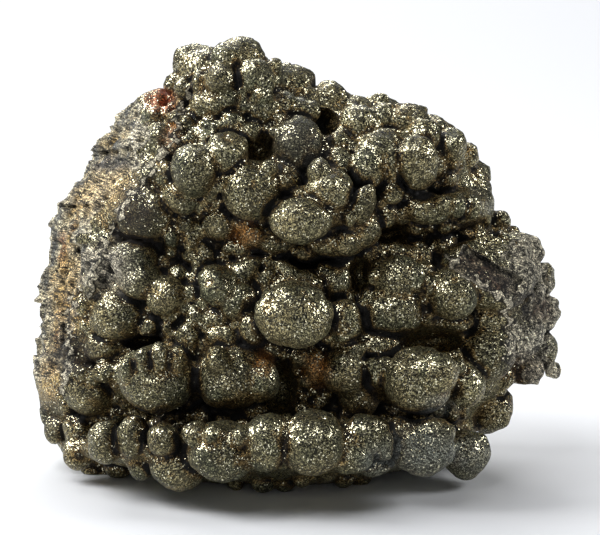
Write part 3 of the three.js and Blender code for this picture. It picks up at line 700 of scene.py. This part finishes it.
# Stains on the front, one of them partly painted shadow: across, up, half width, half height, colour and
# strength.
stains = [
    (-28, 34, 2.6, 2.2, "rust", 0.6),
    (-25.4, 28.4, 1.2, 1, "ochre", 0.9),
    (-26.2, 26.4, 2, 1.8, "clay", 0.8),
    (-40, 15.4, 5.4, 4.6, "sand", 0.7),
    (-35.6, 18.6, 2.2, 2.2, "sand", 0.7),
    (-39.4, 21.6, 4.8, 1.7, "slate", 0.9),
    (-46.4, -1.6, 2.2, 5.2, "straw", 0.7),
    (-38.6, 0.4, 4.4, 4.6, "ash", 0.75),
    (-47, -10, 2, 4, "straw", 0.6),
    (-50, -22, 2, 4.4, "straw", 0.7),
    (-50, -29, 2.2, 3.6, "smoke", 0.7),
    (-45.4, -16.6, 3.8, 3.8, "sootAndShade", 0.95),
    (-32.6, 11.6, 4, 6, "sootAndShade", 0.9),
    (-11, 7, 2.6, 2.2, "ochre", 0.7),
    (3.4, -20, 2.6, 3, "ochre", 0.6),
    (-7.4, -18.6, 1.8, 2.2, "ochre", 0.6),
    (-0.4, 25.4, 5.6, 4.4, "smoke", 0.75),
    (33.6, 1.2, 3, 2, "umber", 0.95),
    (37.4, -1, 3, 2.2, "umber", 0.95),
    (41, -3.2, 3, 2.2, "umber", 0.95),
    (45.4, 1, 5, 5, "smoke", 0.5),
    (47, -10, 5, 8, "dust", 0.35),
    # partly painted shadow: a dark patch at the far right, over dark rock
    (46, -7, 3, 3.6, "sootAndShade", 1.0),
    (49, -8, 1.8, 2, "earth", 0.8),
    (45, -20, 4, 3, "earth", 0.6),
    (28, -27, 3.4, 2, "dust", 0.6),
    (24.4, -36.6, 6, 4.6, "dust", 0.7),
    (34.4, -37, 4.4, 4, "dust", 0.7),
    (15, -38.4, 3, 3, "dust", 0.6),
]
stainEdge = {"start": 1.7, "slope": 1.1, "least": 1e-4}

# How far out a crease is felt for, and how much each distance counts.
cavityReach = [(0.9, 0.5), (2.4, 0.3), (5, 0.2)]
paintLimits = {"mostCavity": 1.4, "breakFade": 0.35, "toneSeed": 71}
nodulePiece = {"triangles": 196000, "outside": 12, "cap": 3}


def noduleMesh(field):
    grid = openvdb.FloatGrid(nodulePiece["outside"])
    grid.copyFromArray(np.clip(field, -nodulePiece["cap"], nodulePiece["cap"]))
    points, _, quads = grid.convertToPolygons(0.0, 0.0)
    spots = points * space["step"] + np.array(space["low"])
    print("mesh:", len(spots), "corners,", len(quads), "quads")
    mesh = bpy.data.meshes.new("nodule_surface")
    mesh.from_pydata(spots.tolist(), [], quads.tolist())
    piece = bpy.data.objects.new("nodule_surface", mesh)
    bpy.context.scene.collection.objects.link(piece)
    thin = piece.modifiers.new("thin", "DECIMATE")
    thin.ratio = min(1, nodulePiece["triangles"] / (2 * len(quads)))
    bpy.context.view_layer.objects.active = piece
    bpy.ops.object.modifier_apply(modifier="thin")
    print("mesh: thinned to", len(piece.data.polygons), "faces")
    return piece


def addPaint(mesh, name, values):
    width = values.shape[1] if values.ndim == 2 else 1
    kind, field = {1: ("FLOAT", "value"), 3: ("FLOAT_VECTOR", "vector"), 4: ("FLOAT_COLOR", "color")}[width]
    attribute = mesh.attributes.new(name, kind, "POINT")
    attribute.data.foreach_set(field, values.astype(np.float32).ravel())


def meshVectors(items, field):
    values = np.empty(len(items) * 3, np.float32)
    items.foreach_get(field, values)
    return values.reshape(-1, 3)


def cavityOf(field, spots, normals):
    # how closed in each spot is
    return sum(
        share * np.clip(1 - sampled(field, spots + normals * reach) / reach, 0, paintLimits["mostCavity"])
        for reach, share in cavityReach
    )


def brokenShare(found, spots):
    # 1 where bare rock shows, and 0 on the crust
    shares = [
        np.clip(1 + sampled(found[name], spots) / paintLimits["breakFade"], 0, 1)
        for name in ("broken", "slabCut")
    ]
    return np.max([*shares, bareness(spots)], axis=0)


def fibrePlaces(spots):
    # along, across and out of the fibres of whichever broken face is nearest
    places = np.zeros((len(spots), 3))
    closest = np.full(len(spots), -np.inf)
    for face in breaks:
        outward, ways = fibreWays(face)
        beyond = (spots - spotAt(face["middle"])) @ outward
        here = beyond > closest
        closest[here] = beyond[here]
        places[here] = (spots @ ways.T)[here]
    onRight = spots[:, 0] > fibres["rightFrom"]
    places[onRight] = spots[onRight] / fibres["rightGrain"]
    return places


def lumpTones(spots, lumps):
    # each lump has its own tone, from -1 to 1
    tone = np.zeros(len(spots))
    nearest = np.full(len(spots), float(farAway))
    rng = np.random.default_rng(paintLimits["toneSeed"])
    for place, halfWidth, halfHeight, _ in lumps:
        size = (halfWidth + halfHeight) / 2
        spread = np.linalg.norm((spots - spotAt(place)) / (halfWidth, halfHeight, size), axis=1)
        shade = rng.uniform(-1, 1)
        closer = spread < nearest
        nearest[closer] = spread[closer]
        tone[closer] = shade
    return tone


def stainPaint(spots):
    # the colour of the stains at each spot, one of them partly painted shadow, and how strong they are
    mixed = np.zeros((len(spots), 3))
    share = np.zeros(len(spots))
    for across, up, halfWidth, halfHeight, name, strength in stains:
        away = awayFrom(spots, across, up, halfWidth, halfHeight)
        weight = np.clip(stainEdge["start"] - stainEdge["slope"] * away, 0, 1) * strength
        colour = np.array(seen(*stainColours[name]))
        mixed = mixed * (1 - weight[:, None]) + colour * weight[:, None]
        share = 1 - (1 - share) * (1 - weight)
    mixed /= np.maximum(share[:, None], stainEdge["least"])
    return np.column_stack([mixed, np.ones(len(spots))]), share


def paintNodule(piece, found):
    mesh = piece.data
    spots = meshVectors(mesh.vertices, "co")
    normals = meshVectors(mesh.vertex_normals, "vector")
    stain, stainShare = stainPaint(spots)
    paints = {
        "cavity": cavityOf(found["whole"], spots, normals),
        "broken": brokenShare(found, spots),
        "depth": np.clip(-sampled(found["crust"], spots), 0, growth["outside"]),
        "tone": lumpTones(spots, found["lumps"]),
        "upper": normals[:, 1],
        "torn": tornDistance(spots),
        "fibre": fibrePlaces(spots),
        "stain": stain,
        "stainShare": stainShare,
    }
    for name, values in paints.items():
        addPaint(mesh, name, values)
    mesh.vertices.foreach_set("co", toFrame(spots).astype(np.float32).ravel())
    mesh.update()
    print("paint: creases, breaks, lump tones and stains")


class Nodes:
    # short hand for building a material
    def __init__(self, name):
        self.material = bpy.data.materials.new(name)
        self.material.use_nodes = True
        self.tree = self.material.node_tree
        self.shader = self.tree.nodes["Principled BSDF"]

    def add(self, kind, inputs=None, **settings):
        node = self.tree.nodes.new("ShaderNode" + kind)
        for key, value in settings.items():
            setattr(node, key, value)
        for key, value in (inputs or {}).items():
            self.plug(value, node.inputs[key])
        return node

    def plug(self, value, socket):
        if isinstance(value, bpy.types.NodeSocket):
            self.tree.links.new(value, socket)
        else:
            socket.default_value = value

    def maths(self, operation, first, second=0.0):
        return self.add("Math", {0: first, 1: second}, operation=operation).outputs[0]

    def times(self, first, second):
        return self.maths("MULTIPLY", first, second)

    def vector(self, operation, inputs):
        return self.add("VectorMath", inputs, operation=operation).outputs[0]

    def ramp(self, value, low, high, start=0.0, end=1.0):
        limits = {"Value": value, "From Min": low, "From Max": high, "To Min": start, "To Max": end}
        return self.add("MapRange", limits, clamp=True).outputs["Result"]

    def mix(self, share, first, second, blend="MIX"):
        inputs = {"Factor": share}
        node = self.add("Mix", inputs, data_type="RGBA", blend_type=blend)
        for value, socket in ((first, node.inputs[6]), (second, node.inputs[7])):
            self.plug((*value, 1) if isinstance(value, tuple) else value, socket)
        return node.outputs[2]

    def grey(self, value):
        return self.add("CombineColor", {0: value, 1: value, 2: value}).outputs[0]

    def dimmed(self, colour, value):
        return self.mix(1.0, colour, self.grey(value), "MULTIPLY")

    def noise(self, spot, size, detail, roughness=0.55):
        inputs = {"Vector": spot, "Scale": 1 / size, "Detail": detail, "Roughness": roughness}
        return self.add("TexNoise", inputs).outputs["Fac"]

    def patches(self, spot, size, detail, *limits):
        return self.ramp(self.noise(spot, size, detail), *limits)

    def paint(self, name, output="Fac"):
        return self.add("Attribute", attribute_name=name).outputs[output]


# Colours are as seen on a screen, and crystals and grains are metres across. Patches and wavers have
# a size, a detail and a ramp. A ramp has the low and high that come in, and what goes out at each.
crust = {
    "bronze": seen(110, 102, 74), "olive": seen(84, 84, 64), "gold": seen(124, 94, 46),
    "brown": seen(52, 40, 22), "deep": seen(6, 5, 4), "brass": seen(234, 229, 196),
    "crystal": 0.00023, "fineCrystal": 0.00016, "patches": (0.009, 3, 0.35, 0.65),
    "waver": (0.004, 3, 0.3, 0.7, -0.14, 0.14), "lumpTone": (-1, 1, 0.78, 1.18),
    "paintedUndersideLight": (-0.45, 0.5, 1.3, 0.95), "goldCrease": (0.1, 0.3, 0, 0.5),
    "brownCreaseAndShade": (0.25, 0.5, 0, 0.9), "deepCrease": (0.34, 0.62, 0, 0.97),
    "dullCrease": (0.36, 0.75, 0, 0.95), "contrast": 3, "fineContrast": (0, 1, 1.9, 5.6),
    "darkest": 0.02, "calmWhenDull": (0, 1, 1, 0.65), "calmBelow": (-0.35, 0.3, 0.75, 1),
    "brightShare": (-0.25, 0.45, 0.035, 0.2), "brightPatches": (0.0025, 3, 0.35, 0.65, 0.3, 1.5),
    "brightWhenDull": (0.1, 0.8, 1, 0.05), "metal": (0, 1, 0.7, 0.05),
    "roughness": (0, 1, 0.36, 0.62), "rougherWhenDull": 0.3, "brightRoughness": 0.2,
    "fineTilt": 0.4, "dullTilt": 0.9, "brightTilt": 0.6, "tiltWhenDull": (0, 1, 1, 0.5),
}
# Streaks and cracks are sized by the fibres' own width.
rock = {
    "rim": seen(206, 198, 174), "pale": seen(196, 186, 156), "tan": seen(160, 136, 88),
    "grey": seen(104, 104, 98), "dark": seen(16, 14, 10), "rust": seen(120, 72, 40),
    "tanPatches": (0.006, 4, 0.4, 0.6), "greyPatches": (0.003, 3, 0.4, 0.6),
    "rustPatches": (0.011, 2, 0.58, 0.7, 0, 0.8), "waver": (0.004, 3, 0.3, 0.7, -1.2, 1.2),
    "layersEnd": (2, 4), "rimEnds": (0.5, 0.9, 0.9, 0), "streak": 0.7, "streakShare": 0.6,
    "grain": 0.0006, "grainShare": 0.4, "grainDepth": 0.0008, "grainBump": 0.9, "coarseness": 0.7,
    "crack": 1.7, "paintedReliefShade": (0.42, 0.58, 0.07, 1.8), "crackDarkAndShade": (0.01, 0.028, 0.12, 1),
    "crackHeight": (0, 0.04, -0.25, 0), "ragged": (0.0015, 4, 0.3, 0.7, -0.35, 0.35),
    "shows": (0.45, 0.6), "rockCreaseShade": (0.4, 0.9, 0, 0.9), "dullness": 0.95, "onCrust": 0.1,
}
stainLook = {"patches": (0.002, 4, 0.3, 0.62, 0.6, 1), "dullness": 0.55}
tornLook = {
    "waver": (0.0014, 4, 0.3, 0.7, -0.35, 0.35), "edge": (0.2, 0.32, 0.9, 0),
    "crackStarts": (0.26, 0.36), "crackEnds": (0.5, 0.75, 0.9, 0), "bareNear": (0.6, 0.8, 1, 0),
}


def rockColour(n, spot, depth):
    # broken rock: a pale rim, greyer layers under it, then tan and rusty rock
    inner = n.mix(n.patches(spot, *rock["tanPatches"]), rock["tan"], rock["pale"])
    inner = n.mix(n.patches(spot, *rock["rustPatches"]), inner, rock["rust"])
    layers = n.mix(n.patches(spot, *rock["greyPatches"]), rock["grey"], rock["pale"])
    shifted = n.maths("ADD", depth, n.patches(spot, *rock["waver"]))
    stone = n.mix(n.ramp(shifted, *rock["layersEnd"]), layers, inner)
    return n.mix(n.ramp(depth, *rock["rimEnds"]), stone, rock["rim"])


def rockRelief(n, spot):
    # painted shade and highlight on the broken rock, darker in the pits and paler on the ridges of each
    # fibre and grain, how high each is, and dark cracks along the fibres, partly painted shade in their
    # grooves
    fibre = n.paint("fibre", "Vector")
    streaks = n.noise(fibre, rock["streak"], 5, rock["coarseness"])
    grain = n.noise(spot, rock["grain"], 5, rock["coarseness"])
    streaks = n.times(streaks, rock["streakShare"])
    grain = n.times(grain, rock["grainShare"])
    relief = n.maths("ADD", streaks, grain)
    crack = n.maths("ABSOLUTE", n.maths("SUBTRACT", n.noise(fibre, rock["crack"], 3), 0.5))
    # painted shade and highlight: the pits of the relief darker and its ridges paler
    reliefShade = n.ramp(relief, *rock["paintedReliefShade"])
    # dark cracks, partly painted shade in their grooves
    reliefShade = n.times(reliefShade, n.ramp(crack, *rock["crackDarkAndShade"]))
    height = n.maths("ADD", relief, n.ramp(crack, *rock["crackHeight"]))
    return reliefShade, height


def crustColour(n, spot, cavity, upper):
    # bronze to olive, with painted light that brightens the undersides and dims the upper sides a little,
    # golden and brown tints in the creases with the brown partly painted shade, then painted shade that
    # darkens the deepest creases to near black
    base = n.mix(n.patches(spot, *crust["patches"]), crust["olive"], crust["bronze"])
    base = n.dimmed(base, n.ramp(n.paint("tone"), *crust["lumpTone"]))
    uneven = n.maths("ADD", cavity, n.patches(spot, *crust["waver"]))
    # painted light: brighter on the undersides, a little darker on the upper sides
    base = n.dimmed(base, n.ramp(upper, *crust["paintedUndersideLight"]))
    base = n.mix(n.ramp(uneven, *crust["goldCrease"]), base, crust["gold"])
    # brown tint in the creases, partly painted shade
    base = n.mix(n.ramp(uneven, *crust["brownCreaseAndShade"]), base, crust["brown"])
    # painted shade: the deepest creases darkened to near black
    return n.mix(n.ramp(cavity, *crust["deepCrease"]), base, crust["deep"])


def withTornEdge(n, spot, colour):
    # a thin pale line where the crust is torn, with a dark crack beside it
    torn = n.maths("ADD", n.paint("torn"), n.patches(spot, *tornLook["waver"]))
    edge = n.ramp(torn, *tornLook["edge"])
    starts = n.ramp(torn, *tornLook["crackStarts"])
    crackBeside = n.times(starts, n.ramp(torn, *tornLook["crackEnds"]))
    colour = n.mix(crackBeside, colour, rock["dark"])
    colour = n.mix(edge, colour, rock["rim"])
    return colour, n.ramp(torn, *tornLook["bareNear"])


def crystalCells(n, spot, size):
    # a colour for each crystal, and the same as three draws from 0 to 1
    colours = n.add("TexVoronoi", {"Vector": spot, "Scale": 1 / size}).outputs["Color"]
    return colours, n.add("SeparateColor", {0: colours}).outputs


def crystalShade(n, draws, fineDraws, dull, upper):
    # every crystal is darker or lighter than the next
    shade = n.maths("POWER", draws[0], crust["contrast"])
    shade = n.times(shade, n.ramp(fineDraws[0], *crust["fineContrast"]))
    shade = n.maths("ADD", shade, crust["darkest"])
    calmer = n.ramp(dull, *crust["calmWhenDull"])
    calmer = n.times(calmer, n.ramp(upper, *crust["calmBelow"]))
    return n.maths("ADD", n.times(n.maths("SUBTRACT", shade, 1.0), calmer), 1.0)


def brightCrystals(n, spot, draws, dull, upper):
    # a few bright ones glint, most of them on the upper sides
    share = n.ramp(upper, *crust["brightShare"])
    share = n.times(share, n.patches(spot, *crust["brightPatches"]))
    share = n.times(share, n.ramp(dull, *crust["brightWhenDull"]))
    return n.maths("LESS_THAN", draws[1], share)


def crystalFacing(n, colours, fineColours, bright, dull):
    # small flat crystal faces, each tilted its own way
    tilts = n.mix(crust["fineTilt"], colours, fineColours)
    centred = n.vector("SUBTRACT", {0: tilts, 1: (0.5, 0.5, 0.5)})
    strength = n.ramp(bright, 0, 1, crust["dullTilt"], crust["brightTilt"])
    strength = n.times(strength, n.ramp(dull, *crust["tiltWhenDull"]))
    scaled = n.vector("SCALE", {0: centred, "Scale": strength})
    facing = n.add("NewGeometry").outputs["Normal"]
    tilted = n.vector("ADD", {0: facing, 1: scaled})
    return n.vector("NORMALIZE", {0: tilted})


def noduleMaterial():
    n = Nodes("marcasite")
    spot = n.add("TexCoord").outputs["Object"]
    cavity = n.paint("cavity")
    broken = n.paint("broken")
    upper = n.paint("upper")
    colours, draws = crystalCells(n, spot, crust["crystal"])
    fineColours, fineDraws = crystalCells(n, spot, crust["fineCrystal"])

    # the crust, with rock where it is gone
    base = crustColour(n, spot, cavity, upper)
    stone = rockColour(n, spot, n.paint("depth"))
    rockReliefShade, rockHeight = rockRelief(n, spot)
    ragged = n.maths("ADD", broken, n.patches(spot, *rock["ragged"]))
    broken = n.ramp(ragged, *rock["shows"])
    colour = n.mix(broken, base, stone)

    # stains over both, one of them partly painted shadow, then the painted shade and highlight of the
    # rock's relief, painted shade in its creases, and its torn edges
    stained = n.times(n.paint("stainShare"), n.patches(spot, *stainLook["patches"]))
    colour = n.mix(stained, colour, n.paint("stain", "Color"))
    # painted shade and highlight from the rock's relief
    colour = n.mix(broken, colour, n.dimmed(colour, rockReliefShade))
    # painted shade: the rock's creases darkened
    darker = n.times(broken, n.ramp(cavity, *rock["rockCreaseShade"]))
    colour = n.mix(darker, colour, rock["dark"])
    colour, bareNear = withTornEdge(n, spot, colour)
    broken = n.maths("MAXIMUM", broken, bareNear)

    # crystals are dull on rock, under stains and in creases
    dull = n.times(broken, rock["dullness"])
    dull = n.maths("MAXIMUM", dull, n.times(stained, stainLook["dullness"]))
    dull = n.maths("MAXIMUM", dull, n.ramp(cavity, *crust["dullCrease"]))
    colour = n.dimmed(colour, crystalShade(n, draws, fineDraws, dull, upper))
    bright = brightCrystals(n, spot, draws, dull, upper)
    colour = n.mix(bright, colour, crust["brass"])
    n.plug(colour, n.shader.inputs["Base Color"])

    metal = n.ramp(dull, *crust["metal"])
    n.plug(n.maths("MAXIMUM", metal, bright), n.shader.inputs["Metallic"])
    roughness = n.ramp(draws[2], *crust["roughness"])
    roughness = n.maths("ADD", roughness, n.times(dull, crust["rougherWhenDull"]))
    n.plug(n.ramp(bright, 0, 1, roughness, crust["brightRoughness"]), n.shader.inputs["Roughness"])

    facing = crystalFacing(n, colours, fineColours, bright, dull)
    height = n.times(rockHeight, n.maths("ADD", broken, rock["onCrust"]))
    inputs = {
        "Strength": rock["grainBump"], "Distance": rock["grainDepth"], "Height": height, "Normal": facing,
    }
    bump = n.add("Bump", inputs)
    n.plug(bump.outputs["Normal"], n.shader.inputs["Normal"])
    return n.material


def makeNodule():
    found = noduleField()
    piece = noduleMesh(found["whole"])
    paintNodule(piece, found)
    piece.data.polygons.foreach_set("use_smooth", [True] * len(piece.data.polygons))
    piece.data.materials.append(noduleMaterial())
    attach(piece, "root")
    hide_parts("nodule")


makeNodule()


# The floor, the lights and the camera.
stage = {
    "floorSize": 8, "floorColour": (240, 242, 246), "floorRoughness": 0.6,
    "worldColour": (255, 255, 255), "worldStrength": 0.05,
}
# name, place, aim, size and power
lights = [
    ("left", (-0.5, 0.05, 0.45), (0, 0, 0.04), (0.34, 0.34), 3.1),
    ("right", (0.52, 0, 0.36), (0, 0, 0.04), (0.22, 0.22), 1.3),
    ("behind", (-0.25, 1, 0.9), (-0.05, 0.6, 0), (1.2, 0.5), 12),
    ("above", (-0.4, -0.3, 1), (0, 0, 0.04), (0.8, 0.5), 4.6),
    ("front", (0, -1, 0.35), (0, 0, 0.03), (1, 0.5), 0.9),
]


def makeFloor():
    half = stage["floorSize"] / 2
    mesh = bpy.data.meshes.new("floor")
    corners = [(-half, -half, 0), (half, -half, 0), (half, half, 0), (-half, half, 0)]
    mesh.from_pydata(corners, [], [(0, 1, 2, 3)])
    floor = bpy.data.objects.new("floor", mesh)
    bpy.context.scene.collection.objects.link(floor)
    n = Nodes("paleFloor")
    n.plug((*seen(*stage["floorColour"]), 1), n.shader.inputs["Base Color"])
    n.plug(stage["floorRoughness"], n.shader.inputs["Roughness"])
    mesh.materials.append(n.material)


def makeLights():
    world = bpy.data.worlds.new("studio")
    world.use_nodes = True
    background = world.node_tree.nodes["Background"]
    background.inputs["Color"].default_value = (*seen(*stage["worldColour"]), 1)
    background.inputs["Strength"].default_value = stage["worldStrength"]
    bpy.context.scene.world = world
    for name, place, aim, size, power in lights:
        data = bpy.data.lights.new(name, "AREA")
        data.shape = "RECTANGLE"
        data.size, data.size_y = size
        data.energy = power
        lamp = bpy.data.objects.new(name, data)
        lamp.location = place
        way = Vector(aim) - lamp.location
        lamp.rotation_euler = way.to_track_quat("-Z", "Y").to_euler()
        bpy.context.scene.collection.objects.link(lamp)


def makeCamera():
    data = bpy.data.cameras.new("camera")
    data.sensor_width = eye["sensor"]
    data.lens = eye["sensor"] * eye["distance"] / eye["photoWidthMm"]
    data.clip_end = eye["clipEnd"]
    camera = bpy.data.objects.new("camera", data)
    out = np.array([[0, eye["aimUp"], eye["distance"]]])
    camera.location = toFrame(out)[0].tolist()
    camera.rotation_euler = (math.pi / 2 - tilt, 0, 0)
    bpy.context.scene.collection.objects.link(camera)
    bpy.context.scene.camera = camera


makeFloor()
makeLights()
makeCamera()
bpy.context.scene.view_settings.view_transform = "Standard"
print("stage, lights and camera placed")
